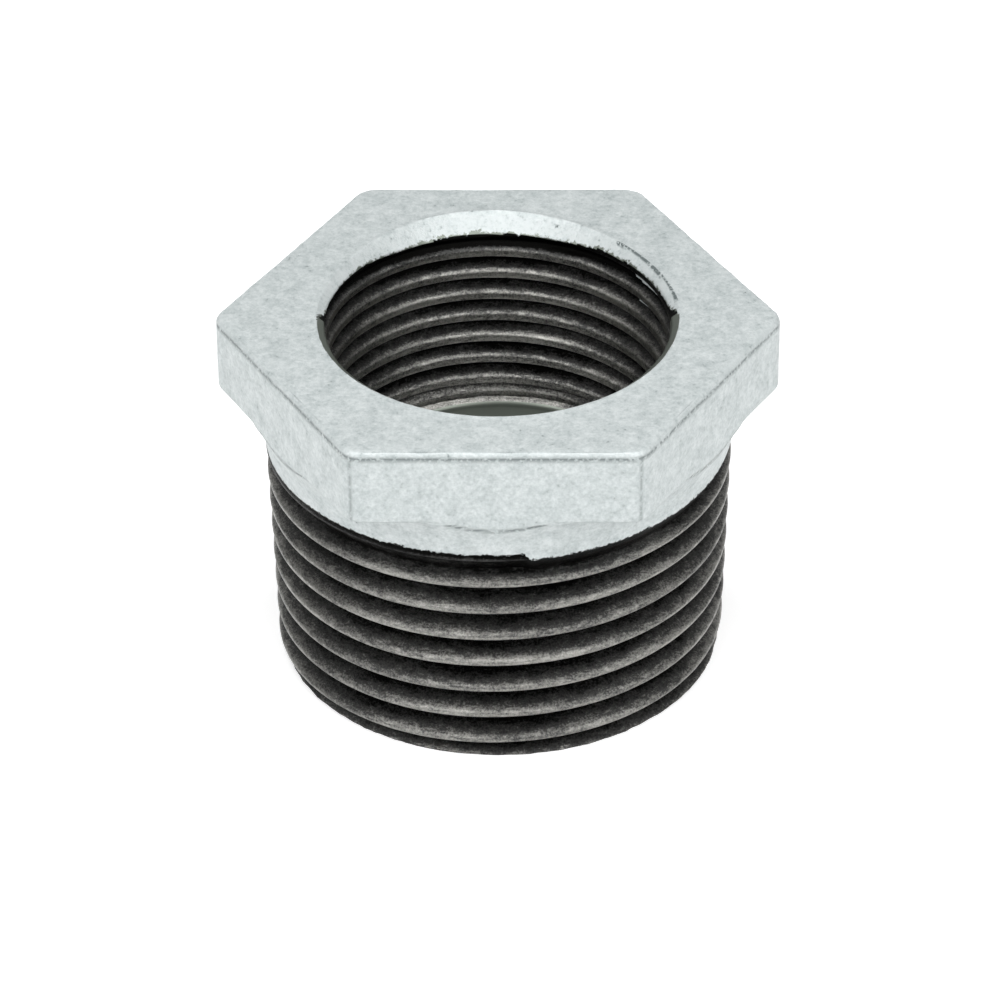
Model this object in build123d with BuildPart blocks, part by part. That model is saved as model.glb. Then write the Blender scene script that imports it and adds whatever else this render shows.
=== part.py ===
from build123d import *
import math
import os

# Hex bushing, R 1 outside by Rc 3/4 inside, galvanised malleable iron, one casting.
#
# Frame: millimetres, +Z up. The origin is the middle of the flat annulus at the thread end,
# the Z axis is the axis of both threads, and two corners of the hexagon lie on the X axis.

# ---- Driving dimensions ----------------------------------------------------------------
INCH = 25.4

# Head
overall_height = 27.2
across_flats = 35.4
head_height = 5.85
corner_radius = 1.7
head_edge_radius = 0.45

# Concave neck between the head and the outside thread
neck_top_radius = 18.1
neck_mid_radius = 17.25
neck_bottom_z = 17.9

# Whitworth pipe thread form (ISO 7-1): 55 degrees, taper 1 in 16 on the diameter
half_angle = 27.5
taper = 1 / 32
depth_per_pitch = 0.640327
flat_per_pitch = 1 / 6
groove_overrun = 0.25

# Outside thread R 1
outer_pitch = INCH / 11
outer_gauge_radius = 33.249 / 2
outer_gauge_length = 10.39
outer_end_chamfer = 0.5
outer_groove_start_z = -1.305
outer_groove_turns = 8 + 277 / 360
die_throat_z = 18.65
die_throat_angle = 30
die_throat_margin = 0.25

# Inside thread Rc 3/4, its crests cut flat by the cored hole
inner_pitch = INCH / 14
inner_gauge_radius = 26.441 / 2
inner_crest_radius = 12.35
inner_thread_length = 14.2
inner_ridge_start_z = 9.837
inner_ridge_turns = 11
tap_nose_angle = 27
tap_tip_drop = 0.1
tap_tip_margin = 0.08

# Mouth and through passage
mouth_radius = 13.4
mouth_angle = 51
passage_radius = 11.3
passage_top_z = 12.2
passage_rim_radius = 12.1
passage_chamfer = 0.6

# ---- Worked out from the above ---------------------------------------------------------
head_bottom_z = overall_height - head_height
inner_end_z = overall_height - inner_thread_length
outer_depth = depth_per_pitch * outer_pitch
inner_depth = inner_gauge_radius - inner_crest_radius


def outer_crest(z):
    """Radius of the outside thread's crests at height z."""
    return outer_gauge_radius + (z - outer_gauge_length) * taper


def inner_root(z):
    """Radius of the inside thread's roots at height z. The gauge plane is the top face."""
    return inner_gauge_radius + (z - overall_height) * taper


def inner_crest(z):
    """Radius of the inside thread's crests at height z."""
    return inner_root(z) - inner_depth


def helical_ridge(pitch, start_z, turns, foot_radius, foot_width, depth, mode):
    """Sweep a V section with a flat foot up a right-hand conical helix about the Z axis.

    The foot is the floor of the groove that the sweep cuts, the helix starts on the X axis,
    and the section runs out past the blank's surface.
    """
    reach = depth + groove_overrun
    foot = foot_width / 2
    top = foot + reach * math.tan(math.radians(half_angle))
    cone_angle = math.degrees(math.atan(taper))
    with BuildLine() as path:
        Helix(pitch, turns * pitch, foot_radius, center=(0, 0, start_z), cone_angle=cone_angle)
    with BuildSketch(Plane(origin=path.line @ 0, x_dir=(1, 0, 0), z_dir=(0, -1, 0))) as section:
        with BuildLine():
            Polyline((0, -foot), (reach, -top), (reach, top), (0, foot), close=True)
        make_face()
    sweep(section.sketch, path=path.line, is_frenet=True, mode=mode)


# ---- Tap: the solid that leaves the inside thread when it is cut away -------------------
# Its teeth reach the roots, its groove floor the crests, and its nose is ground conical.
# Its tip stands a hair proud of the crests, and ends inside the cone of the passage.
tap_nose_length = inner_depth / math.tan(math.radians(tap_nose_angle))
with BuildPart() as tap:
    with BuildSketch(Plane.XZ):
        with BuildLine():
            Polyline(
                (0, inner_end_z - tap_tip_drop),
                (inner_crest(inner_end_z) + tap_tip_margin, inner_end_z - tap_tip_drop),
                (inner_root(inner_end_z + tap_nose_length), inner_end_z + tap_nose_length),
                (inner_root(overall_height + 1), overall_height + 1),
                (0, overall_height + 1),
                close=True,
            )
        make_face()
    revolve(axis=Axis.Z)
    crest_cut = depth_per_pitch * inner_pitch - inner_depth
    crest_flat = flat_per_pitch * inner_pitch + 2 * crest_cut * math.tan(math.radians(half_angle))
    helical_ridge(
        inner_pitch,
        inner_ridge_start_z,
        inner_ridge_turns,
        inner_crest(inner_ridge_start_z),
        crest_flat,
        inner_depth,
        Mode.SUBTRACT,
    )

# ---- Die: the solid that the die cuts away around the thread blank ----------------------
# The cone of the die's throat lifts it out of the blank, so the last turns grow shallow
die_throat_radius = outer_crest(die_throat_z) + die_throat_margin
die_throat_run = (outer_depth + 2 * die_throat_margin) / math.tan(math.radians(die_throat_angle))
with BuildPart() as die:
    helical_ridge(
        outer_pitch,
        outer_groove_start_z,
        outer_groove_turns,
        outer_crest(outer_groove_start_z) - outer_depth,
        flat_per_pitch * outer_pitch,
        outer_depth,
        Mode.ADD,
    )
    with BuildSketch(Plane.XZ):
        with BuildLine():
            Polyline(
                (0, die_throat_z - die_throat_run),
                (die_throat_radius - outer_depth - 2 * die_throat_margin, die_throat_z - die_throat_run),
                (die_throat_radius, die_throat_z),
                (across_flats, die_throat_z),
                (across_flats, overall_height),
                (0, overall_height),
                close=True,
            )
        make_face()
    revolve(axis=Axis.Z, mode=Mode.SUBTRACT)

# ---- The bushing -----------------------------------------------------------------------
with BuildPart() as hex_bushing:
    # Hexagonal prism with its corners and top edge rounded as cast
    with BuildSketch():
        RegularPolygon(radius=across_flats / 2, side_count=6, major_radius=False)
        fillet(vertices(), radius=corner_radius)
    extrude(amount=overall_height)
    fillet(faces().sort_by(Axis.Z)[-1].edges(), radius=head_edge_radius)

    # Turned outline: it leaves the flats on the head and narrows to neck and thread blank
    with BuildSketch(Plane.XZ):
        with BuildLine():
            Polyline(
                (0, 0),
                (outer_crest(0) - outer_end_chamfer, 0),
                (outer_crest(outer_end_chamfer), outer_end_chamfer),
                (outer_crest(neck_bottom_z), neck_bottom_z),
            )
            ThreePointArc(
                (outer_crest(neck_bottom_z), neck_bottom_z),
                (neck_mid_radius, (neck_bottom_z + head_bottom_z) / 2),
                (neck_top_radius, head_bottom_z),
            )
            Polyline(
                (neck_top_radius, head_bottom_z),
                (across_flats, head_bottom_z),
                (across_flats, overall_height),
                (0, overall_height),
                (0, 0),
            )
        make_face()
    revolve(axis=Axis.Z, mode=Mode.INTERSECT)

    # Outside thread
    add(die.part, mode=Mode.SUBTRACT)

    # Through passage, the inside thread, and the mouth over it
    with BuildSketch(Plane.XZ):
        with BuildLine():
            Polyline(
                (0, 0),
                (passage_radius + passage_chamfer, 0),
                (passage_radius, passage_chamfer),
                (passage_radius, passage_top_z),
                (passage_rim_radius, inner_end_z),
                (0, inner_end_z),
                close=True,
            )
        make_face()
    revolve(axis=Axis.Z, mode=Mode.SUBTRACT)
    add(tap.part, mode=Mode.SUBTRACT)
    mouth_depth = (mouth_radius - passage_radius) / math.tan(math.radians(mouth_angle))
    with BuildSketch(Plane.XZ):
        with BuildLine():
            Polyline(
                (0, overall_height - mouth_depth),
                (passage_radius, overall_height - mouth_depth),
                (mouth_radius, overall_height),
                (0, overall_height),
                close=True,
            )
        make_face()
    revolve(axis=Axis.Z, mode=Mode.SUBTRACT)

hex_bushing.part.label = "hex_bushing"
os.makedirs("parts", exist_ok=True)
export_step(hex_bushing.part, "parts/hex_bushing.step")
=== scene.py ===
"""Hex bushing, 1 inch outside thread by 3/4 inch inside thread, in galvanised malleable iron.

The bushing is one closed mesh. Its two threads are bands made by one Geometry Nodes tree, a
hexagonal casting and a cored passage are made ring by ring in mesh code, and the four are
stitched edge to edge. Lengths are in metres.
"""

import math

import bmesh
import bpy
from bpy.props import FloatProperty, FloatVectorProperty, PointerProperty
from bpy.types import Operator, Panel, PropertyGroup
from mathutils import Matrix, Vector, noise


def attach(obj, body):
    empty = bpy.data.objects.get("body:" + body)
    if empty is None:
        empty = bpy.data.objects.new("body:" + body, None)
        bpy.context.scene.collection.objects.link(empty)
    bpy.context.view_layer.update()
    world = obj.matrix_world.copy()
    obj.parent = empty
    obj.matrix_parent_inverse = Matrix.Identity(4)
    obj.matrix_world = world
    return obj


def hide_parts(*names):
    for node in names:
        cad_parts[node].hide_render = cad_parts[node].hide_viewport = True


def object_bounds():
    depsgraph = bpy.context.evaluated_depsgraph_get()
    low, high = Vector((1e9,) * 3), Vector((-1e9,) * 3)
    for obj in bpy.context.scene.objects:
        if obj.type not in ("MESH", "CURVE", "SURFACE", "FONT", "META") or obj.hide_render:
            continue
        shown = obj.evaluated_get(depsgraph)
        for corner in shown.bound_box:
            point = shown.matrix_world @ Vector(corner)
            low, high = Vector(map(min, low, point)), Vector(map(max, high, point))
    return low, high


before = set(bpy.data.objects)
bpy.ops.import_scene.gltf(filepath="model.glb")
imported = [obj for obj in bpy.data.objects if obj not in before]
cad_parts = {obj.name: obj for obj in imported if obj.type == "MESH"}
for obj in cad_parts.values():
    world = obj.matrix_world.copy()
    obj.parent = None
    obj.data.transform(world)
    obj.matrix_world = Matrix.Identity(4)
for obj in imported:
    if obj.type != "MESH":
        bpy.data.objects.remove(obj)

bl_info = {
    "name": "Hex Bushing",
    "version": (1, 0, 0),
    "blender": (4, 5, 0),
    "location": "View3D > Sidebar > Bushing",
    "description": "Builds a galvanised hex bushing with its studio",
    "category": "Object",
}

MM = 0.001
INCH = 25.4 * MM
CAD_LOW, CAD_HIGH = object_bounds()

MATH = "ShaderNodeMath"
VECTOR_MATH = "ShaderNodeVectorMath"
NOISE = "ShaderNodeTexNoise"
RANGE = "ShaderNodeMapRange"
MIX_COLOUR = "ShaderNodeMixRGB"
ATTRIBUTE = "ShaderNodeAttribute"
PRINCIPLED = "ShaderNodeBsdfPrincipled"

# Two points that fall within this distance are one
WELD = 0.002 * MM
# How near to a height or a radius a point has to be, to be taken as on it, and a wider margin
# for edges that wander
HAIR = 0.01 * MM
MARGIN = 0.1 * MM

# Columns of quads round every ring. They crowd together at the hexagon's corners.
COLUMNS = 264
CORNERS = 6
HALF_SIDE = math.pi / CORNERS
CORNER_CROWDING = 0.09
OUTER_ROWS = 20
INNER_ROWS = 16

# Whitworth pipe thread form
TAPER = 1 / 32
FLANK_TANGENT = math.tan(math.radians(27.5))
DEPTH_PER_PITCH = 0.640327
ROOT_FLAT_PER_PITCH = 1 / 6

# The die and the tap. The outside band ends just above the highest step of the die's throat.
CHASERS = 4
CHASER_TURN = math.tau / CHASERS
CHASER_ANGLE = math.radians(-83)
TOOL_TANGENT = math.tan(math.radians(30))
THROAT_HEIGHT = 17.62 * MM
OUTER_TOP = 18.95 * MM

# The mouth. Its zinc reaches from the right over the back to the left, with painted crease
# shade at the right.
MOUTH_TANGENT = math.tan(math.radians(51))
SWELL_SHARPNESS = 4
ZINC_MOUTH = (math.radians(2), math.radians(181))
ZINC_CREASE = (math.radians(9), math.radians(50))


def linear(text):
    """An sRGB hex colour as the linear colour that Blender's sockets take."""
    channels = [int(text[i : i + 2], 16) / 255 for i in (1, 3, 5)]
    return [c / 12.92 if c <= 0.04045 else ((c + 0.055) / 1.055) ** 2.4 for c in channels] + [1]


def add_node(tree, kind, *values, **settings):
    """Adds a node. Each value is a link from a socket or a node, or an input's own value, and
    keywords that start with a capital name inputs. The other keywords are the node's settings."""
    node = tree.nodes.new(kind)
    named = {key: settings.pop(key) for key in list(settings) if key[0].isupper()}
    for key, setting in settings.items():
        setattr(node, key, setting)
    inputs = list(enumerate(values))
    inputs += [(key.replace("_", " "), value) for key, value in named.items()]
    for key, value in inputs:
        if value is None:
            continue
        if isinstance(value, bpy.types.Node):
            value = value.outputs[0]
        if isinstance(value, bpy.types.NodeSocket):
            tree.links.new(value, node.inputs[key])
        else:
            node.inputs[key].default_value = value
    return node


# ---- Sizes and colours that a user may change ------------------------------------------------


def length(name, description, default):
    """A length that a user may change."""
    return FloatProperty(name=name, description=description, default=default, unit="LENGTH")


def bearing(name, description, degrees):
    """An angle that a user may change."""
    return FloatProperty(
        name=name, description=description, default=math.radians(degrees), unit="ROTATION")


def tint(name, description, text):
    """A colour that a user may change, written as sRGB hex."""
    return FloatVectorProperty(
        name=name, description=description, default=linear(text), subtype="COLOR", size=4,
        min=0, max=1)


class BushingSizes(PropertyGroup):
    """Sizes of the casting and of the bands that the threads are cut into."""

    overall_height: length(
        "Overall height", "From the thread end to the top of the head", CAD_HIGH.z - CAD_LOW.z)
    across_flats: length(
        "Across flats", "Distance between two opposite flats of the head", CAD_HIGH.y - CAD_LOW.y)
    head_height: length("Head height", "Depth of the hexagonal head", 5.85 * MM)
    corner_radius: length("Corner radius", "Rounding of the hexagon's six corners", 1.75 * MM)
    rim_radius: length("Rim radius", "Rounding of the head's top edge", 0.45 * MM)
    neck_start: length(
        "Neck start", "Height at which the thread blank flares into the neck", 17.9 * MM)
    neck_middle_radius: length(
        "Neck middle radius", "Radius of the neck halfway up", 17.25 * MM)
    neck_top_radius: length("Neck top radius", "Radius of the neck under the head", 18.1 * MM)
    passage_radius: length("Passage radius", "Radius of the cored passage", 11.3 * MM)
    passage_top: length("Passage top", "Height at which the tap's cut ends", 12.5 * MM)
    mouth_radius: length(
        "Mouth radius", "Radius of the turned mouth at the front of the top face", 12.95 * MM)
    mouth_swell: length(
        "Mouth swell", "How far the mouth reaches past its radius at the back", 1.5 * MM)
    mouth_swell_direction: bearing(
        "Swell direction", "Direction in which the mouth reaches furthest", 98)


class ThreadSizes(PropertyGroup):
    """Sizes of the two taper pipe threads."""

    outer_pitch: length("Outside pitch", "11 threads an inch", INCH / 11)
    outer_gauge_radius: length(
        "Outside gauge radius", "Crest radius at the gauge plane", 33.249 / 2 * MM)
    outer_gauge_height: length("Outside gauge height", "Height of the gauge plane", 10.39 * MM)
    outer_groove_height: length(
        "Outside groove height", "Height of a groove's middle on the X axis", -1.305 * MM)
    inner_pitch: length("Inside pitch", "14 threads an inch", INCH / 14)
    inner_gauge_radius: length(
        "Inside gauge radius", "Root radius at the top face", 26.441 / 2 * MM)
    inner_crest_radius: length(
        "Inside crest radius", "Crest radius at the top face, cut flat by the cored hole",
        12.35 * MM)
    inner_ridge_height: length(
        "Inside crest height", "Height of a crest's middle on the X axis", 9.837 * MM)


class BushingFinish(PropertyGroup):
    """Colours of the finishes."""

    zinc: tint("Zinc", "Hot-dip galvanised zinc", "#d6dcdc")
    zinc_shade: tint("Zinc shade", "Duller grain of the zinc coat", "#aeb7b7")
    # Dark pits in the zinc, and painted shade in its creases
    zinc_pit_and_crease_shade: tint("Zinc pit and crease shade", "Pits and creases in the zinc coat", "#6a7373")
    # Lighter crests: rubbed iron with a painted highlight
    crest: tint("Crest", "Rubbed iron on the thread's crests", "#a09f9a")
    flank: tint("Flank", "Torn iron on the thread's flanks", "#484847")
    # Oil and swarf in the roots, with painted shade there and a painted shadow under the head
    oil_and_painted_shade: tint("Oil and painted shade", "Oil and swarf in the thread's roots", "#070706")
    # Painted highlight along the head's top edge and in the mouth
    painted_zinc_highlight: tint(
        "Painted zinc highlight", "Bright zinc in the mouth and along the head's top edge", "#c9cfcf")
    turned: tint("Turned iron", "Faced and chamfered iron", "#7c827a")


class StudioSizes(PropertyGroup):
    """The camera, and the strength of the studio's light."""

    lens: FloatProperty(name="Lens", description="Focal length", default=199.95, unit="CAMERA")
    camera_distance: length(
        "Camera distance", "From the camera to the point it looks at", 396 * MM)
    camera_elevation: bearing("Camera elevation", "Angle of the view above the floor", 34.46)
    camera_azimuth: bearing("Camera azimuth", "Turn of the view about the bushing's axis", 0.82)
    camera_roll: bearing("Camera roll", "Tilt of the frame", 0.46)
    world_strength: FloatProperty(
        name="World strength", description="Even light from all round", default=0.34)
    front_power: FloatProperty(
        name="Front power", description="Power in watts of each softbox beside the camera",
        default=0.25)
    overhead_power: FloatProperty(
        name="Overhead power", description="Power in watts of each long softbox overhead",
        default=0.42)
    floor_lift: FloatProperty(
        name="Floor lift", default=0.45,
        description="Glow of the floor beyond its own light, to be seen as white")


# ---- Threads -----------------------------------------------------------------------------------

THREAD_INPUTS = {
    "NodeSocketInt": ("Columns", "Rows per Pitch", "Turns"),
    "NodeSocketFloat": (
        "Corner Crowding", "Side", "Low End", "High End", "Pitch", "Groove Height", "Groove Depth",
        "Root Flat", "Edge Rounding", "Gauge Radius", "Gauge Height", "Flare Start", "Flare Slope",
        "Flare Curve", "Throat Radius", "Throat Height", "Throat Slope", "Chaser Rise",
        "Chaser Angle", "Face Radius", "Face Height", "Face Slope", "Face Swell", "Swell Direction",
        "Ragged Edge", "Lip Radius", "Lip Slope", "Wear Depth", "Wear Size", "Seed"),
    "NodeSocketMaterial": ("Material",),
}
RAGGED_DETAIL = 3.0
WEAR_DETAIL = 4.0
# Wear runs along the helix, so its pattern is stretched in the plane of the rings
WEAR_STRETCH = (0.35, 0.35, 1.0)


def thread_tree():
    """A band of taper thread as a grid whose rows climb with the helix.

    A row that leaves the band's low or high end is clamped to it, and merging takes it away. The
    radius counts outwards for an outside thread and inwards for an inside one, by the Side input,
    so that a groove always lowers it and the throat, blank and face bound it in the same sense.
    """
    tree = bpy.data.node_groups.new("taper_thread", "GeometryNodeTree")
    for kind, names in THREAD_INPUTS.items():
        for name in names:
            tree.interface.new_socket(name=name, in_out="INPUT", socket_type=kind)
    tree.interface.new_socket(name="Geometry", in_out="OUTPUT", socket_type="NodeSocketGeometry")
    size = tree.nodes.new("NodeGroupInput").outputs

    # Grid: x is the turn about the axis, y the way up the band
    columns = add_node(tree, MATH, size["Columns"], 1, operation="ADD")
    rows = add_node(tree, MATH, size["Rows per Pitch"], size["Turns"], operation="MULTIPLY")
    rows = add_node(tree, MATH, rows, 1, operation="ADD")
    grid = add_node(tree, "GeometryNodeMeshGrid", 1, 1, columns, rows)
    place = add_node(tree, "ShaderNodeSeparateXYZ", add_node(tree, "GeometryNodeInputPosition"))

    # Angle, with the columns crowded at the hexagon's corners
    even = add_node(tree, MATH, place.outputs["X"], math.tau, operation="MULTIPLY")
    wave = add_node(tree, MATH, even, CORNERS, operation="MULTIPLY")
    wave = add_node(tree, MATH, wave, operation="SINE")
    wave = add_node(tree, MATH, wave, size["Corner Crowding"], operation="MULTIPLY")
    angle = add_node(tree, MATH, even, wave, operation="SUBTRACT")
    turn = add_node(tree, MATH, angle, math.tau, operation="DIVIDE")

    # Height: the row's place on the helix, clamped to the band. Rows start half a pitch and a
    # whole number of pitches below the low end, so that they keep step with the grooves.
    below = add_node(tree, MATH, size["Low End"], size["Groove Height"], operation="SUBTRACT")
    below = add_node(tree, MATH, below, size["Pitch"], operation="DIVIDE")
    below = add_node(tree, MATH, below, 0.5, operation="SUBTRACT")
    below = add_node(tree, MATH, below, operation="FLOOR")
    along = add_node(tree, MATH, place.outputs["Y"], 0.5, operation="ADD")
    along = add_node(tree, MATH, along, size["Turns"], operation="MULTIPLY")
    along = add_node(tree, MATH, along, below, operation="ADD")
    along = add_node(tree, MATH, along, turn, operation="ADD")
    height = add_node(
        tree, MATH, along, size["Pitch"], size["Groove Height"], operation="MULTIPLY_ADD")
    height = add_node(tree, MATH, height, size["Low End"], operation="MAXIMUM")
    height = add_node(tree, MATH, height, size["High End"], operation="MINIMUM")

    # Points of a circle for the noise, so that it closes on itself
    circle = add_node(
        tree, "ShaderNodeCombineXYZ",
        add_node(tree, MATH, angle, operation="COSINE"),
        add_node(tree, MATH, angle, operation="SINE"))
    level = add_node(tree, "ShaderNodeCombineXYZ", None, None, height)
    reach = add_node(tree, VECTOR_MATH, circle, Scale=size["Gauge Radius"], operation="SCALE")
    spot = add_node(tree, VECTOR_MATH, reach, level, operation="ADD")
    fineness = add_node(tree, MATH, 1, size["Wear Size"], operation="DIVIDE")

    # Groove: depth of the V below the blank, with rounded crest and root
    phase = add_node(tree, MATH, height, size["Groove Height"], operation="SUBTRACT")
    phase = add_node(tree, MATH, phase, size["Pitch"], operation="DIVIDE")
    phase = add_node(tree, MATH, phase, turn, operation="SUBTRACT")
    apart = add_node(tree, MATH, phase, 0.5, operation="PINGPONG")
    apart = add_node(tree, MATH, apart, size["Pitch"], operation="MULTIPLY")
    half_foot = add_node(tree, MATH, size["Root Flat"], 0.5, operation="MULTIPLY")
    past_foot = add_node(tree, MATH, apart, half_foot, operation="SUBTRACT")
    flank = add_node(tree, MATH, past_foot, FLANK_TANGENT, operation="DIVIDE")
    groove = add_node(tree, MATH, size["Groove Depth"], flank, operation="SUBTRACT")
    groove = add_node(
        tree, MATH, groove, size["Groove Depth"], size["Edge Rounding"], operation="SMOOTH_MIN")
    groove = add_node(tree, MATH, groove, 0, size["Edge Rounding"], operation="SMOOTH_MAX")

    # Blank: the taper, and the flare into the neck
    rise = add_node(tree, MATH, height, size["Gauge Height"], operation="SUBTRACT")
    blank = add_node(tree, MATH, rise, TAPER, size["Gauge Radius"], operation="MULTIPLY_ADD")
    over = add_node(tree, MATH, height, size["Flare Start"], operation="SUBTRACT")
    over = add_node(tree, MATH, over, 0, operation="MAXIMUM")
    flare = add_node(
        tree, MATH, over, size["Flare Curve"], size["Flare Slope"], operation="MULTIPLY_ADD")
    blank = add_node(tree, MATH, flare, over, blank, operation="MULTIPLY_ADD")
    blank = add_node(tree, MATH, blank, size["Side"], operation="MULTIPLY")
    cut = add_node(tree, MATH, blank, groove, operation="SUBTRACT")

    # Throat: the die or tap lifts out along a cone, a step higher at each of its chasers
    step = add_node(tree, MATH, angle, size["Chaser Angle"], operation="SUBTRACT")
    step = add_node(tree, MATH, step, CHASER_TURN, operation="DIVIDE")
    step = add_node(tree, MATH, step, operation="FRACT")
    step = add_node(tree, MATH, step, size["Chaser Rise"], operation="MULTIPLY")
    ragged = add_node(
        tree, NOISE, Vector=spot, W=size["Seed"], Scale=fineness, Detail=RAGGED_DETAIL,
        noise_dimensions="4D")
    ragged = add_node(tree, MATH, ragged, 0.5, operation="SUBTRACT")
    ragged = add_node(tree, MATH, ragged, size["Ragged Edge"], operation="MULTIPLY")
    throat = add_node(tree, MATH, height, size["Throat Height"], operation="SUBTRACT")
    throat = add_node(tree, MATH, throat, step, operation="SUBTRACT")
    throat = add_node(tree, MATH, throat, ragged, operation="ADD")
    throat = add_node(
        tree, MATH, throat, size["Throat Slope"], size["Throat Radius"], operation="MULTIPLY_ADD")
    throat = add_node(tree, MATH, throat, size["Side"], operation="MULTIPLY")
    cut = add_node(tree, MATH, cut, throat, size["Edge Rounding"], operation="SMOOTH_MAX")
    cut = add_node(tree, MATH, cut, blank, operation="MINIMUM")

    # Lip: at the band's low or high end the grooves are filled up to a cone, as by a burr
    lip = add_node(tree, MATH, height, size["Low End"], operation="SUBTRACT")
    lip = add_node(
        tree, MATH, lip, size["Lip Slope"], size["Lip Radius"], operation="MULTIPLY_ADD")
    lip = add_node(tree, MATH, lip, ragged, operation="ADD")
    lip = add_node(tree, MATH, lip, size["Side"], operation="MULTIPLY")
    cut = add_node(tree, MATH, cut, lip, size["Edge Rounding"], operation="SMOOTH_MAX")

    # Face: the chamfer at the band's open end, deeper towards one side where it swells
    swell = add_node(tree, MATH, angle, size["Swell Direction"], operation="SUBTRACT")
    swell = add_node(tree, MATH, swell, operation="COSINE")
    swell = add_node(tree, MATH, swell, 0, operation="MAXIMUM")
    swell = add_node(tree, MATH, swell, SWELL_SHARPNESS, operation="POWER")
    swell = add_node(
        tree, MATH, swell, size["Face Swell"], size["Face Radius"], operation="MULTIPLY_ADD")
    face = add_node(tree, MATH, height, size["Face Height"], operation="SUBTRACT")
    face = add_node(tree, MATH, face, size["Face Slope"], swell, operation="MULTIPLY_ADD")
    face = add_node(tree, MATH, face, ragged, operation="ADD")
    face = add_node(tree, MATH, face, size["Side"], operation="MULTIPLY")
    cut = add_node(tree, MATH, cut, face, size["Edge Rounding"], operation="SMOOTH_MIN")

    # Wear: the torn skin of cut iron, drawn out along the helix
    drawn = add_node(tree, VECTOR_MATH, spot, WEAR_STRETCH, operation="MULTIPLY")
    wear = add_node(
        tree, NOISE, Vector=drawn, W=size["Seed"], Scale=fineness, Detail=WEAR_DETAIL,
        noise_dimensions="4D")
    wear = add_node(tree, MATH, wear, size["Wear Depth"], operation="MULTIPLY")
    worn = add_node(tree, MATH, cut, wear, operation="SUBTRACT")
    fresh = add_node(tree, MATH, blank, cut, operation="SUBTRACT")
    fresh = add_node(tree, MATH, fresh, size["Wear Depth"], operation="DIVIDE", use_clamp=True)
    worn = add_node(tree, "ShaderNodeMix", fresh, None, cut, worn, data_type="FLOAT")
    radius = add_node(tree, MATH, worn, size["Side"], operation="MULTIPLY")

    # The depth below the blank is kept for the material, before the grid is rolled up
    rolled = add_node(tree, VECTOR_MATH, circle, Scale=radius, operation="SCALE")
    rolled = add_node(tree, VECTOR_MATH, rolled, level, operation="ADD")
    depth = add_node(tree, MATH, blank, cut, operation="SUBTRACT")
    depth = add_node(tree, MATH, depth, size["Groove Depth"], operation="DIVIDE", use_clamp=True)
    band = add_node(tree, "GeometryNodeStoreNamedAttribute", grid, None, "depth", depth)
    band = add_node(tree, "GeometryNodeSetPosition", band, Position=rolled)
    band = add_node(tree, "GeometryNodeMergeByDistance", band, Distance=WELD)
    band = add_node(tree, "GeometryNodeRealizeInstances", band)
    band = add_node(tree, "GeometryNodeSetMaterial", band, Material=size["Material"])
    add_node(tree, "NodeGroupOutput", band)
    return tree


def thread_band(tree, settings):
    """The plain mesh that the thread tree makes from these settings."""
    carrier = bpy.data.objects.new("thread_carrier", bpy.data.meshes.new("thread_carrier"))
    bpy.context.scene.collection.objects.link(carrier)
    modifier = carrier.modifiers.new("thread", "NODES")
    modifier.node_group = tree
    for item in tree.interface.items_tree:
        if item.in_out == "INPUT":
            modifier[item.identifier] = settings[item.name]
    evaluated = carrier.evaluated_get(bpy.context.evaluated_depsgraph_get())
    mesh = bpy.data.meshes.new_from_object(evaluated)
    carrier.modifiers.remove(modifier)
    bpy.data.objects.remove(carrier)
    return mesh


def neck_curve(sizes, threads):
    """Radius at the neck's start, and the slope and curve of the parabola that flares from it."""
    start = threads.outer_gauge_radius + (sizes.neck_start - threads.outer_gauge_height) * TAPER
    run = (sizes.overall_height - sizes.head_height - sizes.neck_start) / 2
    middle = sizes.neck_middle_radius - start
    top = sizes.neck_top_radius - start
    curve = (top - 2 * middle) / (2 * run * run)
    slope = middle / run - curve * run
    return start, slope, curve


# Inputs of a band that neither flares nor swells, and has no steps in its throat
PLAIN_BAND = {
    "Columns": COLUMNS,
    "Corner Crowding": CORNER_CROWDING,
    "Flare Slope": 0.0,
    "Flare Curve": 0.0,
    "Throat Slope": TOOL_TANGENT,
    "Chaser Rise": 0.0,
    "Chaser Angle": 0.0,
    "Face Height": 0.0,
    "Face Slope": 1.0,
    "Face Swell": 0.0,
    "Swell Direction": 0.0,
}


def outer_settings(sizes, threads, material):
    """Inputs of the outside thread, from the thread end up to the neck."""
    pitch = threads.outer_pitch
    start, slope, curve = neck_curve(sizes, threads)
    end_radius = threads.outer_gauge_radius - threads.outer_gauge_height * TAPER
    return PLAIN_BAND | {
        "Rows per Pitch": OUTER_ROWS,
        "Turns": math.ceil(OUTER_TOP / pitch) + 2,
        "Side": 1.0,
        "Low End": 0.0,
        "High End": OUTER_TOP,
        "Pitch": pitch,
        "Groove Height": threads.outer_groove_height,
        "Groove Depth": DEPTH_PER_PITCH * pitch,
        "Root Flat": ROOT_FLAT_PER_PITCH * pitch,
        "Edge Rounding": 0.34 * MM,
        "Gauge Radius": threads.outer_gauge_radius,
        "Gauge Height": threads.outer_gauge_height,
        "Flare Start": sizes.neck_start,
        "Flare Slope": slope - TAPER,
        "Flare Curve": curve,
        "Throat Radius": start,
        "Throat Height": THROAT_HEIGHT,
        "Chaser Rise": pitch / CHASERS,
        "Chaser Angle": CHASER_ANGLE,
        "Face Radius": end_radius - 0.25 * MM,
        "Ragged Edge": 0.3 * MM,
        "Lip Radius": end_radius - 0.3 * MM,
        "Lip Slope": -1.6,
        "Wear Depth": 0.07 * MM,
        "Wear Size": 0.7 * MM,
        "Seed": 3.0,
        "Material": material,
    }


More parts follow.
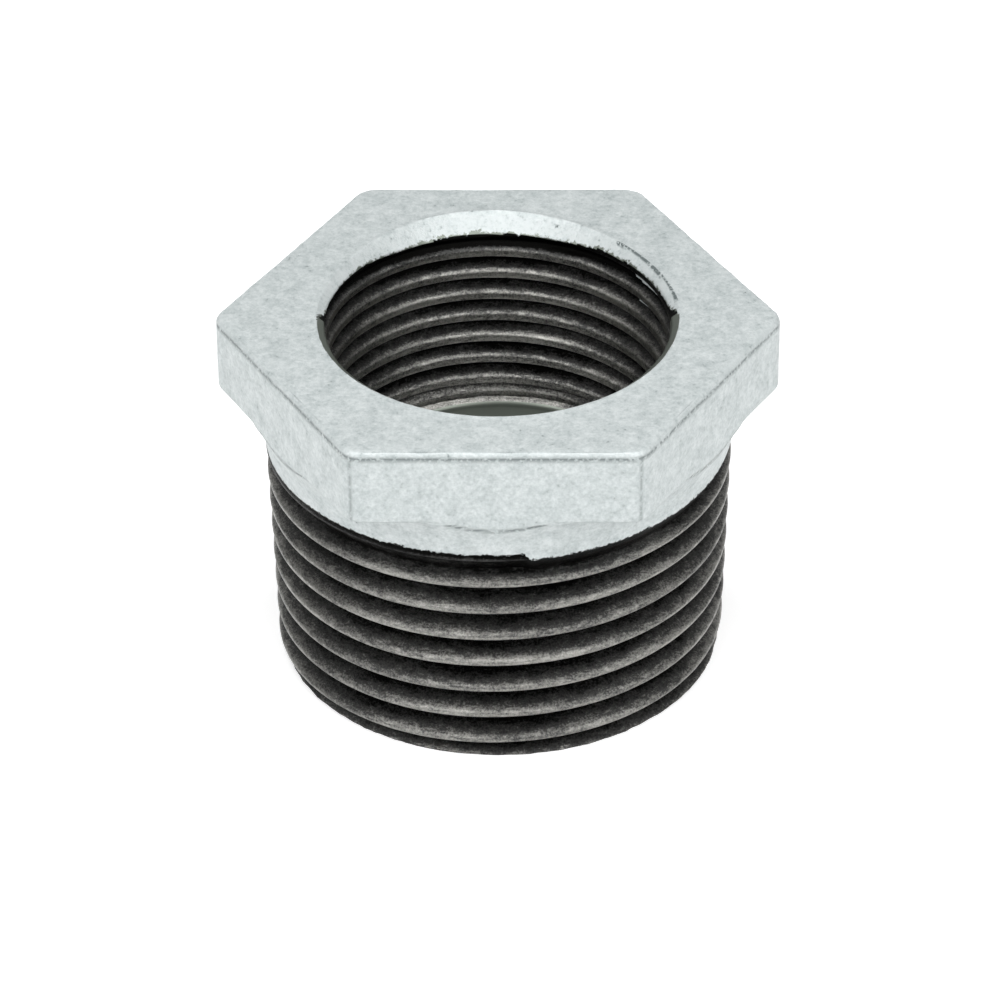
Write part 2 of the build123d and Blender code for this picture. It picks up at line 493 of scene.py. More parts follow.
def inner_settings(sizes, threads, material):
    """Inputs of the inside thread, from the passage up to the mouth."""
    pitch = threads.inner_pitch
    top = sizes.overall_height
    return PLAIN_BAND | {
        "Rows per Pitch": INNER_ROWS,
        "Turns": math.ceil((top - sizes.passage_top) / pitch) + 2,
        "Side": -1.0,
        "Low End": sizes.passage_top,
        "High End": top,
        "Pitch": pitch,
        "Groove Height": threads.inner_ridge_height - pitch / 2,
        "Groove Depth": threads.inner_gauge_radius - threads.inner_crest_radius,
        "Root Flat": ROOT_FLAT_PER_PITCH * pitch,
        "Edge Rounding": 0.26 * MM,
        "Gauge Radius": threads.inner_crest_radius,
        "Gauge Height": top,
        "Flare Start": top,
        "Throat Radius": sizes.passage_radius + 0.35 * MM,
        "Throat Height": sizes.passage_top,
        "Face Radius": sizes.mouth_radius,
        "Face Height": top,
        "Face Slope": MOUTH_TANGENT,
        "Face Swell": sizes.mouth_swell,
        "Swell Direction": sizes.mouth_swell_direction,
        "Ragged Edge": 0.12 * MM,
        "Lip Radius": 20.55 * MM,
        "Lip Slope": -0.58,
        "Wear Depth": 0.05 * MM,
        "Wear Size": 0.6 * MM,
        "Seed": 8.0,
        "Material": material,
    }


# ---- Casting -----------------------------------------------------------------------------------

# How many rings each part of the casting's skin has
NECK_RINGS = 9
FLAT_RINGS = 13
RIM_RINGS = 7
TOP_RINGS = 12
PASSAGE_RINGS = 6
# The last ring of the top face stops this share of a step short of the mouth's own ring
TOP_GAP = 0.35
# A quarter circle in three steps, past its start
QUARTER = tuple(math.radians(turn) for turn in (30, 60, 90))

NECK_BLEND = 0.25 * MM
NECK_FILLET = 0.35 * MM
LOWER_EDGE = 0.3 * MM
PASSAGE_CHAMFER = 0.6 * MM
# The ledge that the tap left: how far out and how far down its rings are, and where it ends
TAP_LEDGE = ((0.18 * MM, 0.18 * MM), (0.05 * MM, 0.4 * MM))
LEDGE_DEPTH = 0.7 * MM


def column_angles():
    """Angles of the columns of quads, crowded at the hexagon's corners as the bands' are."""
    even = [math.tau * (column / COLUMNS - 0.5) for column in range(COLUMNS)]
    return [angle - CORNER_CROWDING * math.sin(CORNERS * angle) for angle in even]


def turn_from_corner(angle):
    """Angle from the hexagon's nearest corner. One of the corners stands on the X axis."""
    return (angle + HALF_SIDE) % (2 * HALF_SIDE) - HALF_SIDE


def hexagon_radius(angle, apothem, corner):
    """Radius of the hexagon at this angle, with corners rounded to the radius corner."""
    from_corner = turn_from_corner(angle)
    centre = (apothem - corner) / math.cos(HALF_SIDE)
    tangent = math.atan2(corner * math.sin(HALF_SIDE), centre + corner * math.cos(HALF_SIDE))
    if abs(from_corner) > tangent:
        return apothem / math.cos(HALF_SIDE - abs(from_corner))
    across = centre * math.sin(from_corner)
    return centre * math.cos(from_corner) + math.sqrt(corner * corner - across * across)


def soft_min(a, b, blend):
    """The smaller of two lengths, rounded where they are close."""
    mix = max(blend - abs(a - b), 0) / blend
    return min(a, b) - mix * mix * blend / 4


def mouth_at(sizes, angle):
    """Radius of the mouth at the top face."""
    swell = max(math.cos(angle - sizes.mouth_swell_direction), 0) ** SWELL_SHARPNESS
    return sizes.mouth_radius + sizes.mouth_swell * swell


def neck_at(sizes, threads, height):
    """Radius of the neck at this height, and of the thread's blank below its start."""
    start, slope, curve = neck_curve(sizes, threads)
    over = max(0, height - sizes.neck_start)
    return start + over * (slope + over * curve)


def casting_rings(sizes, threads):
    """Rings of the casting's skin, from the outside thread over the head to the mouth.

    Each ring is a list of (radius, height), one for each column.
    """
    apothem = sizes.across_flats / 2
    corner = sizes.corner_radius
    rim = sizes.rim_radius
    top = sizes.overall_height
    under = top - sizes.head_height
    angles = column_angles()
    hexagon = [hexagon_radius(angle, apothem, corner) for angle in angles]

    # Neck, cut off by the flats where it is wider than they are
    rings = []
    for step in range(1, NECK_RINGS + 1):
        height = OUTER_TOP + (under - NECK_FILLET - OUTER_TOP) * step / NECK_RINGS
        neck = neck_at(sizes, threads, height)
        rings.append([(soft_min(neck, side, NECK_BLEND), height) for side in hexagon])

    # Fillet under the head, the underside, and the rounded lower edge of the flats
    neck = neck_at(sizes, threads, under)
    root = [soft_min(neck, side, NECK_BLEND) for side in hexagon]
    edge = [max(side - LOWER_EDGE, inner) for inner, side in zip(root, hexagon)]
    for bend in QUARTER:
        out = NECK_FILLET * (1 - math.cos(bend))
        up = NECK_FILLET * (math.sin(bend) - 1)
        rings.append([(min(inner + out, outer), under + up) for inner, outer in zip(root, edge)])
    fillet = [radius for radius, height in rings[-1]]
    rings.append([((inner + outer) / 2, under) for inner, outer in zip(fillet, edge)])
    rings.append([(outer, under) for outer in edge])
    for bend in QUARTER:
        up = LOWER_EDGE * (1 - math.cos(bend))
        rings.append([
            (inner + (side - inner) * math.sin(bend), under + up)
            for inner, side in zip(edge, hexagon)])

    # Flats, then the rim, then the top face in to the mouth
    for step in range(1, FLAT_RINGS + 1):
        height = under + LOWER_EDGE + (top - rim - under - LOWER_EDGE) * step / FLAT_RINGS
        rings.append([(side, height) for side in hexagon])
    for step in range(1, RIM_RINGS + 1):
        bend = math.pi / 2 * step / RIM_RINGS
        inset = rim * (1 - math.cos(bend))
        height = top - rim + rim * math.sin(bend)
        rings.append([
            (hexagon_radius(angle, apothem - inset, corner - inset), height) for angle in angles])
    outline = [radius for radius, height in rings[-1]]
    for step in range(1, TOP_RINGS + 1):
        part = step / (TOP_RINGS + TOP_GAP)
        rings.append([
            (outer + (mouth_at(sizes, angle) - outer) * part, top)
            for angle, outer in zip(angles, outline)])
    return rings


def passage_rings(sizes):
    """Rings of the cored passage as (radius, height), from the tap's end down to the base."""
    radius = sizes.passage_radius
    top = sizes.passage_top
    wall_top = top - LEDGE_DEPTH
    profile = [(radius + out, top - down) for out, down in TAP_LEDGE]
    for step in range(PASSAGE_RINGS + 1):
        profile.append((radius, wall_top + (PASSAGE_CHAMFER - wall_top) * step / PASSAGE_RINGS))
    profile.append((radius + PASSAGE_CHAMFER / 2, PASSAGE_CHAMFER / 2))
    profile.append((radius + PASSAGE_CHAMFER, 0))
    return [[point] * COLUMNS for point in profile]


# Depth and size of the casting's lumps, and of the beads of zinc along the head's top edge
LUMPS = ((0.07 * MM, 3.5 * MM), (0.03 * MM, 1.1 * MM))
BEAD_DEPTH = 0.09 * MM
BEAD_SIZE = 0.33 * MM
BEAD_REACH = 0.7 * MM
# Share of a lump that lowers the top face, and of a bead that lowers the edge
TOP_LUMP = 0.6
EDGE_DROP = 0.5


def clamp(value, low, high):
    """The value, held between two bounds."""
    return max(low, min(high, value))


def unevenness(place, size):
    """A smooth random height between 0 and 1, with bumps of about this size."""
    return 0.5 + 0.5 * clamp(noise.noise(place / size), -1, 1)


def dent(rings, sizes):
    """Gives the casting its lumps, always inwards, and beads along the head's top edge."""
    top = sizes.overall_height
    for vert in (vert for ring in rings for vert in ring):
        place = vert.co.copy()
        radius = math.hypot(place.x, place.y)
        angle = math.atan2(place.y, place.x)
        side = hexagon_radius(angle, sizes.across_flats / 2, sizes.corner_radius)
        lump = sum(depth * unevenness(place, size) for depth, size in LUMPS)
        rim = max(0, 1 - math.hypot(side - radius, top - place.z) / BEAD_REACH)
        bead = BEAD_DEPTH * rim * unevenness(place, BEAD_SIZE)
        if place.z > top - 2 * HAIR:
            vert.co.z -= TOP_LUMP * lump + bead
        else:
            inward = (lump + bead) / radius
            vert.co.x -= place.x * inward
            vert.co.y -= place.y * inward
            vert.co.z -= EDGE_DROP * bead


# Range of the mark "coat", in millimetres
COAT_RANGE = (-2.6, 1)
# Zinc in the mouth: its least and greatest depth, how far it reaches below the swell, and the
# length over which it tapers at its two ends
MOUTH_ZINC = (0.6 * MM, 1.05 * MM)
MOUTH_ZINC_PAST = 0.3 * MM
ARC_FADE = 2 * MM
# The mouth's chamfer: how deep it is marked, and how far a point may lie off its cone
CHAMFER_DEPTH = 1.7 * MM
CHAMFER_BAND = 0.12 * MM
# Painted highlight on the mouth's zinc: its strength at the mouth's edge, the depth over which it
# grows, and the depth of the top face's edge that it spills over
GLOW = 0.3
GLOW_DEPTH = 0.6 * MM
SPILL_DEPTH = 0.2 * MM
# Fades of the painted highlight on the head's top edge and of the painted shade in the creases
# under it and down the corners
RIM_FADE = 0.5 * MM
CREASE_FADE = 0.3 * MM
CREASE_DROP = 0.47 * MM
CORNER_FAINTNESS = 0.4
# Painted shade in the creases of the neck and of the mouth: strength and width. The neck's is
# looked for where the skin comes near the flats.
NECK_CREASE = (1.1, 0.12 * MM)
NECK_NEAR = 0.2 * MM
MOUTH_CREASE = (1.3, 0.12 * MM)
MOUTH_CREASE_DEPTH = 0.14 * MM


def arc_inside(angle, radius):
    """How far a point of the mouth is inside the arc of its zinc, negative past the arc's ends."""
    if angle <= 0:
        return -math.inf
    return min(angle - ZINC_MOUTH[0], ZINC_MOUTH[1] - angle) * radius


def zinc_inside(sizes, threads, angle, radius, height):
    """How far a point is above the zinc's lower edge, negative on bare iron."""
    mouth = mouth_at(sizes, angle)
    if radius > mouth + HAIR:
        step = (angle - CHASER_ANGLE) / CHASER_TURN % 1
        return height - THROAT_HEIGHT - step * threads.outer_pitch / CHASERS
    reach = clamp((mouth - sizes.mouth_radius) / MOUTH_TANGENT + MOUTH_ZINC_PAST, *MOUTH_ZINC)
    taper = clamp(arc_inside(angle, radius) / ARC_FADE, -1, 1)
    return height - sizes.overall_height + reach * taper


def faced_and_highlight_mark(sizes, angle, radius, height, inside):
    """Strength of the painted highlight on the mouth's zinc, and 1 where the mouth was turned to
    bare iron.
    """
    mouth = mouth_at(sizes, angle)
    drop = sizes.overall_height - height
    cone = mouth - drop * MOUTH_TANGENT
    in_mouth = cone - CHAMFER_BAND < radius < mouth + HAIR and drop < CHAMFER_DEPTH
    # Painted highlight on the mouth's zinc, stronger with depth
    if in_mouth and arc_inside(angle, radius) > 0:
        return min(1, GLOW + drop / GLOW_DEPTH) if inside > -MARGIN else 0
    # Painted highlight spilling over the top face's edge beside the mouth
    if drop < SPILL_DEPTH and ZINC_MOUTH[0] < angle < ZINC_MOUTH[1]:
        return GLOW * max(0, 1 - (radius - mouth) / MM)
    return 1 if in_mouth else 0


def edge_mark(sizes, threads, angle, radius, height):
    """Positive for a painted highlight on the head's rounded top edge, and negative for painted
    shade
    in the creases: at the mouth's right, where the flats run out into the neck, under the top edge
    and down the six corners."""
    drop = sizes.overall_height - height
    strength, width = MOUTH_CREASE
    at_mouth = abs(radius - mouth_at(sizes, angle)) < width and drop < MOUTH_CREASE_DEPTH
    # Painted shade in the crease at the mouth's right
    if at_mouth and ZINC_CREASE[0] < angle < ZINC_CREASE[1]:
        return -strength
    side = hexagon_radius(angle, sizes.across_flats / 2, sizes.corner_radius)
    # Painted shade in the crease where the flats run out into the neck
    if drop > sizes.head_height + MARGIN and side < radius + NECK_NEAR:
        strength, width = NECK_CREASE
        return -strength * max(0, 1 - abs(neck_at(sizes, threads, height) - side) / width)
    # Painted highlight along the head's rounded top edge
    painted_highlight = max(0, 1 - math.hypot(max(side - radius, 0), drop) / RIM_FADE)
    if side - radius > CREASE_FADE or drop > sizes.head_height:
        return painted_highlight
    # Painted shade in the crease under the top edge and down the corners
    corner = CORNER_FAINTNESS + abs(turn_from_corner(angle)) * side / CREASE_FADE
    crease = min(abs(drop - CREASE_DROP) / CREASE_FADE, corner)
    return painted_highlight - max(0, 1 - crease)


def mark(plain, sizes, threads):
    """Stores for the materials how many millimetres inside the zinc each point is, how strong the
    mouth's painted highlight is there or whether the mouth was turned, and the painted highlight on
    the head's top edge or the painted shade in a crease."""
    marks = {"coat": [], "faced": [], "edge": []}
    for vert in plain.vertices:
        x, y, height = vert.co
        spot = (math.atan2(y, x), math.hypot(x, y), height)
        inside = zinc_inside(sizes, threads, *spot)
        marks["coat"].append(clamp(inside / MM, *COAT_RANGE))
        marks["faced"].append(faced_and_highlight_mark(sizes, *spot, inside))
        marks["edge"].append(edge_mark(sizes, threads, *spot))
    for name, values in marks.items():
        plain.attributes.new(name, "FLOAT", "POINT").data.foreach_set("value", values)


# Places of the materials on the mesh, in the order of FINISHES
ZINC_SLOT, THREAD_SLOT, TURNED_SLOT = range(3)


def finish_of(face, sizes):
    """Which of the three materials a face has."""
    x, y, z = face.center
    radius = math.hypot(x, y)
    if z < WELD / 2:
        return TURNED_SLOT
    if radius < mouth_at(sizes, math.atan2(y, x)):
        return THREAD_SLOT if z > sizes.passage_top - MARGIN else TURNED_SLOT
    return THREAD_SLOT if z < OUTER_TOP else ZINC_SLOT


def add_rings(mesh, rings, angles):
    """Adds the rings' vertices and the quads between them, and returns the vertices by ring."""
    made = []
    for ring in rings:
        made.append([
            mesh.verts.new((radius * math.cos(angle), radius * math.sin(angle), height))
            for angle, (radius, height) in zip(angles, ring)])
    for lower, upper in zip(made, made[1:]):
        stitch(mesh, lower, upper)
    return made


def stitch(mesh, lower, upper):
    """Joins two rings of vertices, which stand at the same angles, by quads."""
    for column in range(COLUMNS):
        after = (column + 1) % COLUMNS
        mesh.faces.new((lower[column], lower[after], upper[after], upper[column]))


def open_ring(mesh, height):
    """The vertices of the open edge at this height, in order of angle."""
    rim = {vert for edge in mesh.edges if edge.is_boundary for vert in edge.verts}
    ring = [vert for vert in rim if abs(vert.co.z - height) < WELD / 2]
    return sorted(ring, key=lambda vert: math.atan2(vert.co.y, vert.co.x))


def bushing_mesh(sizes, threads, material):
    """The whole bushing as one closed mesh."""
    tree = thread_tree()
    outer = thread_band(tree, outer_settings(sizes, threads, material))
    inner = thread_band(tree, inner_settings(sizes, threads, material))
    mesh = bmesh.new()
    mesh.from_mesh(outer)
    edges = {"base": open_ring(mesh, 0), "neck": open_ring(mesh, OUTER_TOP)}
    mesh.from_mesh(inner)
    edges["mouth"] = open_ring(mesh, sizes.overall_height)
    edges["passage"] = open_ring(mesh, sizes.passage_top)
    for name, ring in edges.items():
        if len(ring) != COLUMNS:
            raise RuntimeError(f"the {name} edge has {len(ring)} vertices and not {COLUMNS}")
    angles = column_angles()
    casting = add_rings(mesh, casting_rings(sizes, threads), angles)
    passage = add_rings(mesh, passage_rings(sizes), angles)
    dent(casting[1:], sizes)
    stitch(mesh, edges["neck"], casting[0])
    stitch(mesh, casting[-1], edges["mouth"])
    stitch(mesh, edges["passage"], passage[0])
    stitch(mesh, passage[-1], edges["base"])
    bmesh.ops.remove_doubles(mesh, verts=mesh.verts, dist=WELD)
    bmesh.ops.recalc_face_normals(mesh, faces=mesh.faces)
    plain = bpy.data.meshes.new("hex_bushing_body")
    mesh.to_mesh(plain)
    mesh.free()
    bpy.data.meshes.remove(outer)
    bpy.data.meshes.remove(inner)
    mark(plain, sizes, threads)
    return plain


# ---- Finishes ----------------------------------------------------------------------------------


def new_material(name):
    """An empty node material and its tree."""
    material = bpy.data.materials.new(name)
    material.use_nodes = True
    material.node_tree.nodes.clear()
    return material, material.node_tree


# Sizes of the patterns, and depths of the bumps
CLOUD = 1.1 * MM
GRAIN = 0.3 * MM
TEAR = 0.2 * MM
PATCH = 1.7 * MM
SPECK = 0.16 * MM
NIBBLE = 0.5 * MM
TOOL_MARK = 0.25 * MM
ZINC_BUMP = 0.07 * MM
IRON_BUMP = 0.055 * MM
TURNED_BUMP = 0.03 * MM
# Tears run along the helix, so their pattern is stretched in the plane of the rings
TEAR_STRETCH = (0.25, 0.25, 1.0)
# How much tears, patches and specks darken the iron, and the shade at which it is half dark
TEAR_SHADE = 1.3
PATCH_SHADE = 1.2
SPECK_SHADE = 1.3
MIDDLE_SHADE = 1.83
# How far in millimetres the zinc's edge wanders, and how far it fades
NIBBLE_DEPTH = 0.9
COAT_FADE = 0.04


def zinc_shader(tree, place, finish):
    """Hot-dip zinc: a satin pale coat with a faint mottle and fine grain, a painted highlight along
    the head's top edge and in the mouth, a few dark pits, and painted shade in the creases."""
    edge = add_node(tree, ATTRIBUTE, attribute_name="edge").outputs["Fac"]
    faced = add_node(tree, ATTRIBUTE, attribute_name="faced").outputs["Fac"]
    cloud = add_node(tree, NOISE, Vector=place, Scale=1 / CLOUD, Detail=5.0, Roughness=0.7)
    grain = add_node(tree, NOISE, Vector=place, Scale=1 / GRAIN, Detail=4.0, Roughness=0.7)
    bead = add_node(tree, NOISE, Vector=place, Scale=1 / GRAIN, Detail=1.0, Roughness=0.6)

    # Mottle
    mixed = add_node(tree, MATH, cloud, 0.5, operation="MULTIPLY")
    mixed = add_node(tree, MATH, grain, 0.5, mixed, operation="MULTIPLY_ADD")
    mixed = add_node(tree, RANGE, mixed, 0.36, 0.62)
    colour = add_node(tree, MIX_COLOUR, mixed, tuple(finish.zinc_shade), tuple(finish.zinc))

    # Painted highlight along the head's top edge and in the mouth
    beaded = add_node(tree, RANGE, bead, 0.25, 0.45)
    painted_highlight = add_node(tree, MATH, edge, beaded, operation="MULTIPLY")
    painted_highlight = add_node(tree, MATH, painted_highlight, faced, operation="MAXIMUM")
    grained = add_node(tree, RANGE, grain, 0.36, 0.62)
    painted_highlight = add_node(tree, MATH, painted_highlight, grained, operation="MULTIPLY", use_clamp=True)
    colour = add_node(tree, MIX_COLOUR, painted_highlight, colour, tuple(finish.painted_zinc_highlight))

    # Painted shade in the creases, and dark pits
    crease = add_node(tree, MATH, edge, -1, operation="MULTIPLY")
    broken = add_node(tree, RANGE, bead, 0.34, 0.52)
    crease = add_node(tree, MATH, crease, broken, operation="MULTIPLY", use_clamp=True)
    pits = add_node(tree, RANGE, grain, 0.36, 0.26)
    rare = add_node(tree, RANGE, cloud, 0.5, 0.38)
    pits = add_node(tree, MATH, pits, rare, operation="MULTIPLY")
    dark = add_node(tree, MATH, pits, crease, operation="MAXIMUM")
    colour = add_node(tree, MIX_COLOUR, dark, colour, tuple(finish.zinc_pit_and_crease_shade))

    height = add_node(tree, MATH, grain, dark, operation="SUBTRACT")
    bump = add_node(tree, "ShaderNodeBump", Height=height, Distance=ZINC_BUMP, Strength=0.8)
    return add_node(
        tree, PRINCIPLED, Base_Color=colour, Metallic=0.22, Roughness=0.45,
        Normal=bump)


def iron_shader(tree, place, finish):
    """Cut malleable iron: lighter on the crests, which are rubbed and carry a painted highlight,
    torn and dull on the flanks, black in the oily roots, which also carry painted shade, and
    blackest under the zinc's edge, where a painted shadow lies under the head."""
    depth = add_node(tree, ATTRIBUTE, attribute_name="depth").outputs["Fac"]
    coat = add_node(tree, ATTRIBUTE, attribute_name="coat").outputs["Fac"]
    drawn = add_node(tree, VECTOR_MATH, place, TEAR_STRETCH, operation="MULTIPLY")
    tear = add_node(tree, NOISE, Vector=drawn, Scale=1 / TEAR, Detail=4.0, Roughness=0.75)
    patch = add_node(tree, NOISE, Vector=drawn, Scale=1 / PATCH, Detail=4.0, Roughness=0.65)
    speck = add_node(tree, NOISE, Vector=place, Scale=1 / SPECK, Detail=3.0, Roughness=0.7)

    # Shade: low is rubbed iron with a painted highlight, high is oily black with painted shade.
    # The coat's mark counts millimetres, so that a painted shadow under the head darkens the roots
    # within 2.6 mm of the zinc, and all of the iron within 1.3 mm.
    # Painted shadow under the head: the roots darken within 2.6 mm of the zinc
    deeper = add_node(tree, RANGE, coat, -2.6, -1.2, 1.0, 1.9)
    shade = add_node(tree, MATH, depth, deeper, operation="MULTIPLY")
    for pattern, strength in ((tear, TEAR_SHADE), (patch, PATCH_SHADE), (speck, SPECK_SHADE)):
        shade = add_node(tree, MATH, pattern, strength, shade, operation="MULTIPLY_ADD")
    # Painted shadow under the head: all of the iron darkens within 1.3 mm of the zinc
    painted_head_shadow = add_node(tree, RANGE, coat, -1.3, -0.2, 0.0, 1.1)
    shade = add_node(tree, MATH, shade, painted_head_shadow, operation="ADD")
    shade = add_node(tree, MATH, shade, MIDDLE_SHADE, operation="SUBTRACT")

    # Crest colour is rubbed iron with a painted highlight; flank colour is torn iron
    torn = add_node(tree, RANGE, shade, -0.25, 0.4)
    colour = add_node(tree, MIX_COLOUR, torn, tuple(finish.crest), tuple(finish.flank))
    # Oily black, with painted shade in the roots and a painted shadow under the head
    oil_and_shade_amount = add_node(tree, RANGE, shade, 0.5, 1.05)
    colour = add_node(tree, MIX_COLOUR, oil_and_shade_amount, colour, tuple(finish.oil_and_painted_shade))
    rough = add_node(tree, RANGE, shade, 0.0, 0.6, 0.3, 0.5)
    height = add_node(tree, MATH, tear, speck, operation="ADD")
    bump = add_node(tree, "ShaderNodeBump", Height=height, Distance=IRON_BUMP, Strength=0.9)
    return add_node(
        tree, PRINCIPLED, Base_Color=colour, Metallic=0.95, Roughness=rough,
        Normal=bump)


def turned_shader(tree, place, finish):
    """Faced and chamfered iron: dull grey-green with fine rings from the lathe tool."""
    flat = add_node(tree, VECTOR_MATH, place, (1.0, 1.0, 0.0), operation="MULTIPLY")
    radius = add_node(tree, VECTOR_MATH, flat, operation="LENGTH").outputs["Value"]
    line = add_node(tree, "ShaderNodeCombineXYZ", radius)
    rings = add_node(tree, NOISE, Vector=line, Scale=1 / TOOL_MARK, Detail=2.0)
    bump = add_node(tree, "ShaderNodeBump", Height=rings, Distance=TURNED_BUMP, Strength=0.6)
    return add_node(
        tree, PRINCIPLED, Base_Color=tuple(finish.turned), Metallic=0.8,
        Roughness=0.45, Normal=bump)


def thread_shader(tree, place, finish):
    """Thread cut through the zinc: oily iron with painted highlight and painted shade, a turned
    chamfer, and the coat's ragged edge where the tools stopped."""
    faced = add_node(tree, ATTRIBUTE, attribute_name="faced").outputs["Fac"]
    coat = add_node(tree, ATTRIBUTE, attribute_name="coat").outputs["Fac"]
    nibbles = add_node(tree, NOISE, Vector=place, Scale=1 / NIBBLE, Detail=4.0, Roughness=0.7)
    nibbles = add_node(tree, MATH, nibbles, 0.5, operation="SUBTRACT")
    coat = add_node(tree, MATH, nibbles, NIBBLE_DEPTH, coat, operation="MULTIPLY_ADD")
    coated = add_node(tree, RANGE, coat, -COAT_FADE, COAT_FADE)
    faced = add_node(tree, RANGE, faced, 0.4, 0.6)
    iron = iron_shader(tree, place, finish)
    bare = add_node(tree, "ShaderNodeMixShader", faced, iron, turned_shader(tree, place, finish))
    zinc = zinc_shader(tree, place, finish)
    return add_node(tree, "ShaderNodeMixShader", coated, bare, zinc)


# The materials in the order of their places on the mesh: the coat of the head and the neck, the
# two threads with the mouth, and the turned thread end with the passage
FINISHES = (
    ("hot_dip_galvanised_zinc", zinc_shader),
    # The threads' material carries a painted highlight and painted shade
    ("cut_iron_with_oil", thread_shader),
    ("turned_iron", turned_shader),
)


def bushing_materials(finish):
    """The bushing's three materials."""
    materials = []
    for name, shader in FINISHES:
        material, tree = new_material(name)
        place = add_node(tree, "ShaderNodeTexCoord").outputs["Object"]
        add_node(tree, "ShaderNodeOutputMaterial", shader(tree, place, finish))
        materials.append(material)
    return materials


# ---- Operators ---------------------------------------------------------------------------------


class BUSHING_OT_build_bushing(Operator):
    """Build the bushing as one mesh that stands for the CAD solid"""

    bl_idname = "bushing.build_bushing"
    bl_label = "Build Bushing"

    def execute(self, context):
        scene = context.scene
        sizes = scene.bushing_sizes
        materials = bushing_materials(scene.bushing_finish)
        mesh = bushing_mesh(sizes, scene.bushing_threads, materials[THREAD_SLOT])
        for material in materials:
            mesh.materials.append(material)
        bushing = bpy.data.objects.new("hex_bushing_body", mesh)
        scene.collection.objects.link(bushing)
        for face in mesh.polygons:
            face.material_index = finish_of(face, sizes)
        mesh.shade_smooth()
        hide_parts("hex_bushing")
        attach(bushing, "root")
        return {"FINISHED"}


class BUSHING_OT_build_stage(Operator):
    """Build the floor, the softboxes, the world and the camera"""

    bl_idname = "bushing.build_stage"
    bl_label = "Build Stage"

    def execute(self, context):
        scene = context.scene
        studio = scene.bushing_studio
        build_floor(scene, studio)
        build_lights(scene, studio)
        build_camera(scene, studio)
        scene.view_settings.view_transform = "Standard"
        return {"FINISHED"}


FLOOR_HALF = 1.5
FLOOR_WHITE = "#f4f4f4"
# Each softbox's place, width and length, and the setting that holds its power
LAMPS = (
    ("softbox_left", (-0.193, -0.186, 0.225), 170 * MM, 45 * MM, "front_power"),
    ("softbox_right", (0.179, -0.199, 0.225), 170 * MM, 45 * MM, "front_power"),
    ("overhead_left", (-0.1, -0.08, 0.32), 45 * MM, 280 * MM, "overhead_power"),
    ("overhead_right", (0.1, -0.08, 0.32), 45 * MM, 280 * MM, "overhead_power"),
)
CAMERA_AIM = (0.05 * MM, -7.435 * MM, 16.366 * MM)


def build_floor(scene, studio):
    """A pale floor that keeps the bushing's shadow and shows white to the camera."""
    mesh = bpy.data.meshes.new("studio_floor")
    corners = [(x * FLOOR_HALF, y * FLOOR_HALF, 0) for x, y in ((-1, -1), (1, -1), (1, 1), (-1, 1))]
    mesh.from_pydata(corners, [], [(0, 1, 2, 3)])
    floor = bpy.data.objects.new("studio_floor", mesh)
    scene.collection.objects.link(floor)
    material, tree = new_material("white_paper")
    ray = add_node(tree, "ShaderNodeLightPath").outputs
    seen = add_node(tree, MATH, ray["Is Camera Ray"], ray["Is Glossy Ray"], operation="ADD")
    seen = add_node(
        tree, MATH, seen, ray["Is Transmission Ray"], operation="ADD", use_clamp=True)
    lift = add_node(tree, MATH, seen, studio.floor_lift, operation="MULTIPLY")
    shader = add_node(
        tree, PRINCIPLED, Base_Color=linear(FLOOR_WHITE), Roughness=0.9,
        Emission_Color=(1, 1, 1, 1), Emission_Strength=lift)
    add_node(tree, "ShaderNodeOutputMaterial", shader)
    mesh.materials.append(material)


def build_lights(scene, studio):
    """An even white world, two softboxes beside the camera, and two long ones overhead with
    a gap between them. They all face the origin."""
    world = bpy.data.worlds.new("studio_world")
    world.use_nodes = True
    world.node_tree.nodes.clear()
    light = add_node(
        world.node_tree, "ShaderNodeBackground", (1, 1, 1, 1), studio.world_strength)
    add_node(world.node_tree, "ShaderNodeOutputWorld", light)
    scene.world = world
    for name, place, width, length, power in LAMPS:
        lamp = bpy.data.lights.new(name, "AREA")
        lamp.shape = "RECTANGLE"
        lamp.size = width
        lamp.size_y = length
        lamp.energy = getattr(studio, power)
        box = bpy.data.objects.new(name, lamp)
        box.location = place
        box.rotation_mode = "QUATERNION"
        box.rotation_quaternion = (-Vector(place)).to_track_quat("-Z", "Y")
        scene.collection.objects.link(box)


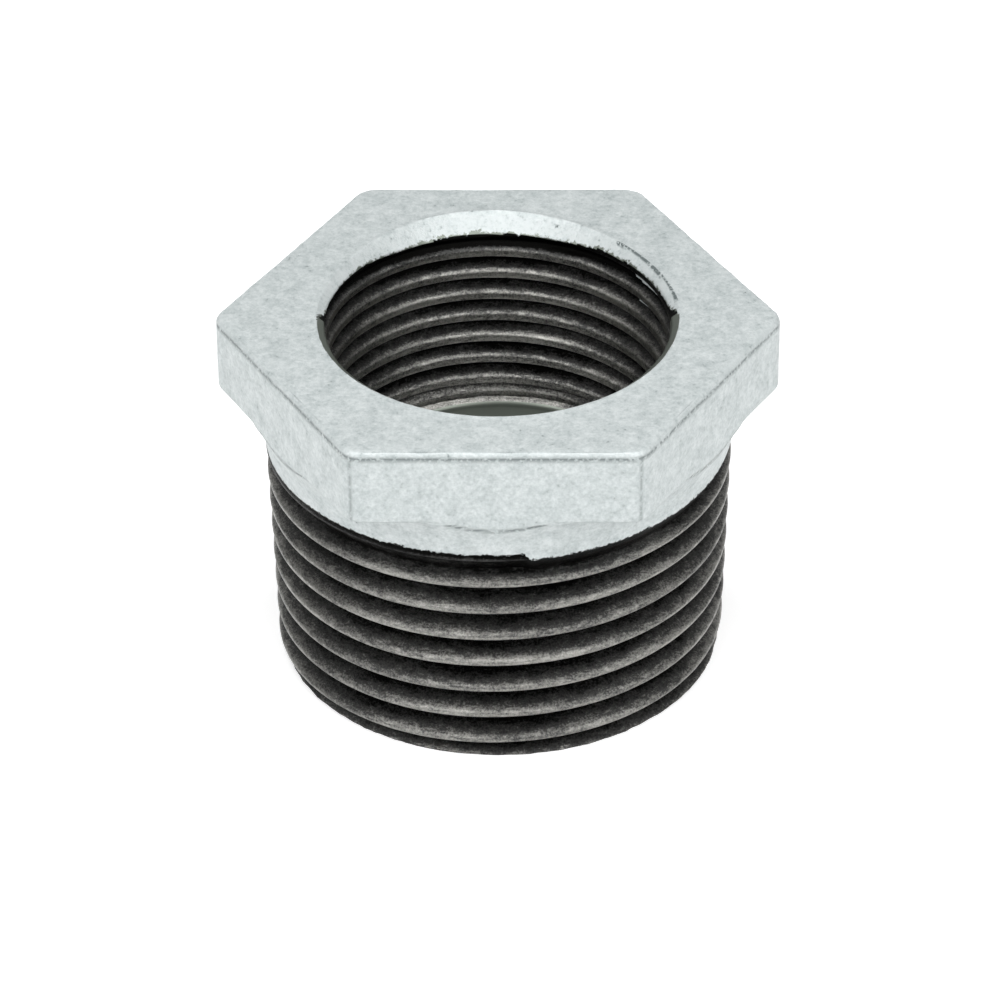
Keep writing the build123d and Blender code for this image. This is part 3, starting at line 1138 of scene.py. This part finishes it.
def build_camera(scene, studio):
    """A long-lens camera in front of the bushing, looking down on it."""
    lens = bpy.data.cameras.new("studio_camera")
    lens.sensor_width = 36
    lens.lens = studio.lens
    lens.clip_start = 10 * MM
    camera = bpy.data.objects.new("studio_camera", lens)
    scene.collection.objects.link(camera)
    rise = studio.camera_elevation
    right = Vector((1, 0, 0))
    up = Vector((0, math.sin(rise), math.cos(rise)))
    forward = Vector((0, math.cos(rise), -math.sin(rise)))
    roll = studio.camera_roll
    turn = Matrix.Rotation(studio.camera_azimuth, 4, "Z")
    axes = Matrix((
        right * math.cos(roll) - up * math.sin(roll),
        right * math.sin(roll) + up * math.cos(roll),
        -forward)).transposed().to_4x4()
    axes.translation = Vector(CAMERA_AIM) - forward * studio.camera_distance
    camera.matrix_world = turn @ axes
    scene.camera = camera


class BUSHING_PT_panel(Panel):
    """The bushing's sizes, colours and operators"""

    bl_label = "Hex Bushing"
    bl_idname = "BUSHING_PT_panel"
    bl_space_type = "VIEW_3D"
    bl_region_type = "UI"
    bl_category = "Bushing"

    def draw(self, context):
        layout = self.layout
        for group in ("bushing_sizes", "bushing_threads", "bushing_finish", "bushing_studio"):
            settings = getattr(context.scene, group)
            box = layout.box()
            for name in settings.__annotations__:
                box.prop(settings, name)
        layout.operator(BUSHING_OT_build_bushing.bl_idname)
        layout.operator(BUSHING_OT_build_stage.bl_idname)


CLASSES = (
    BushingSizes,
    ThreadSizes,
    BushingFinish,
    StudioSizes,
    BUSHING_OT_build_bushing,
    BUSHING_OT_build_stage,
    BUSHING_PT_panel,
)


def register():
    for item in CLASSES:
        bpy.utils.register_class(item)
    bpy.types.Scene.bushing_sizes = PointerProperty(type=BushingSizes)
    bpy.types.Scene.bushing_threads = PointerProperty(type=ThreadSizes)
    bpy.types.Scene.bushing_finish = PointerProperty(type=BushingFinish)
    bpy.types.Scene.bushing_studio = PointerProperty(type=StudioSizes)


def unregister():
    for name in ("bushing_studio", "bushing_finish", "bushing_threads", "bushing_sizes"):
        delattr(bpy.types.Scene, name)
    for item in reversed(CLASSES):
        bpy.utils.unregister_class(item)


def main():
    register()
    bpy.ops.bushing.build_bushing()
    bpy.ops.bushing.build_stage()


if __name__ == "__main__":
    main()
